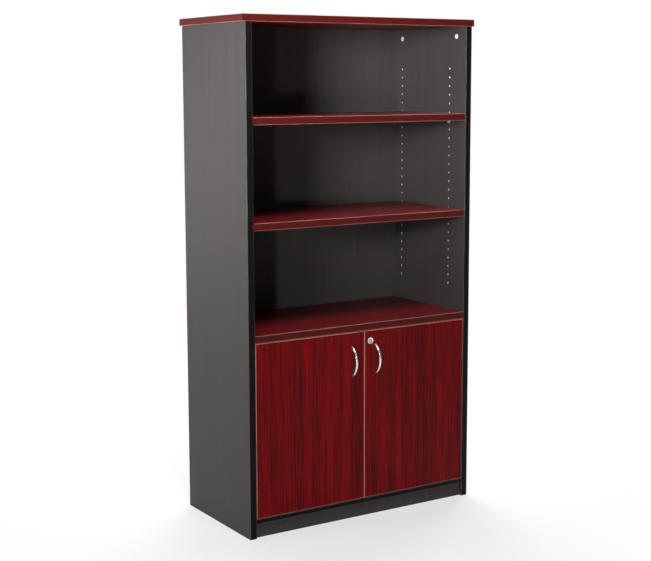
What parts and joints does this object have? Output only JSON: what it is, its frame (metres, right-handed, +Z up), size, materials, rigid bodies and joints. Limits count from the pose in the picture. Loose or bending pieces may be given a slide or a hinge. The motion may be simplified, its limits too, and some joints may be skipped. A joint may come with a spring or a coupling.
{
  "type": "bookcase with cabinet doors",
  "caption": "Tall office bookcase: open adjustable shelves above, a cupboard with two hinged doors, bow handles, a cam lock and a door bolt below.",
  "frame": {"origin": "bottom centre of the whole object, handles included, on the floor", "axes": "+Z up, the doors and open shelves face -Y, +X to the right of someone who faces the doors"},
  "size_m": [0.96, 0.491, 1.78],
  "materials": {
    "redwood_melamine": "satin melamine with a red reddish-brown wood grain",
    "charcoal_melamine": "matt charcoal melamine with a faint upright grain",
    "redwood_edging": "ABS edge band, lighter on its rounded arrises",
    "charcoal_edging": "ABS edge band",
    "white_plastic": "moulded",
    "beech": "fluted dowel",
    "zinc_casting": "bare zinc",
    "chrome": "polished",
    "zinc_plated_steel": "bright zinc plating"
  },
  "bodies": {
    "root": {"back_panel": "charcoal_melamine", "base_cam_fittings": "zinc_casting", "base_edging": "charcoal_edging", "base_panel": "charcoal_melamine", "cam_bolts": "zinc_plated_steel", "cam_covers": "white_plastic", "cam_fittings": "zinc_casting", "cupboard_shelf": "redwood_melamine", "cupboard_shelf_edging": "redwood_edging", "cupboard_shelf_supports": "white_plastic", "hinge_arm_screws": "zinc_plated_steel", "hinge_arms": "zinc_plated_steel", "hinge_plate_screws": "zinc_plated_steel", "hinge_plates": "zinc_plated_steel", "left_side_edging": "charcoal_edging", "left_side_panel": "charcoal_melamine", "middle_shelf": "redwood_melamine", "middle_shelf_edging": "redwood_edging", "plinth": "charcoal_melamine", "right_side_edging": "charcoal_edging", "right_side_panel": "charcoal_melamine", "second_shelf": "redwood_melamine", "second_shelf_edging": "redwood_edging", "second_shelf_supports": "white_plastic", "top_edging": "redwood_edging", "top_panel": "redwood_melamine", "upper_shelf": "redwood_melamine", "upper_shelf_edging": "redwood_edging", "upper_shelf_supports": "white_plastic", "wood_dowels": "beech"},
    "left_door": {"bolt_housing": "zinc_plated_steel", "bolt_screws": "zinc_plated_steel", "left_cup_screws": "zinc_plated_steel", "left_door_edging": "redwood_edging", "left_door_panel": "redwood_melamine", "left_handle": "chrome", "left_handle_screws": "zinc_plated_steel", "left_hinge_cups": "zinc_plated_steel", "left_hinge_pins": "zinc_plated_steel"},
    "door_bolt": {"bolt_rod": "zinc_plated_steel"},
    "right_door": {"lock_barrel": "chrome", "lock_nut": "zinc_plated_steel", "right_cup_screws": "zinc_plated_steel", "right_door_edging": "redwood_edging", "right_door_panel": "redwood_melamine", "right_handle": "chrome", "right_handle_screws": "zinc_plated_steel", "right_hinge_cups": "zinc_plated_steel", "right_hinge_pins": "zinc_plated_steel"},
    "lock_plug_body": {"lock_plug": "chrome", "lock_tongue": "zinc_plated_steel", "lock_tongue_screw": "zinc_plated_steel"}
  },
  "joints": [
    {"name": "left_door_hinge", "type": "hinge", "parent": "root", "child": "left_door", "pos_m": [-0.4205, -0.2063, 0.3755], "axis": [0, 0, -1], "range_deg": [0, 95]},
    {"name": "right_door_hinge", "type": "hinge", "parent": "root", "child": "right_door", "pos_m": [0.4205, -0.2063, 0.3755], "axis": [0, 0, 1], "range_deg": [0, 95]},
    {"name": "lock_turn", "type": "hinge", "parent": "right_door", "child": "lock_plug_body", "pos_m": [0.026, -0.2145, 0.644], "axis": [0, 1, 0], "range_deg": [0, 90]},
    {"name": "bolt_slide", "type": "slide", "parent": "left_door", "child": "door_bolt", "axis": [0, 0, 1], "range_m": [0, 0.012]}
  ]
}
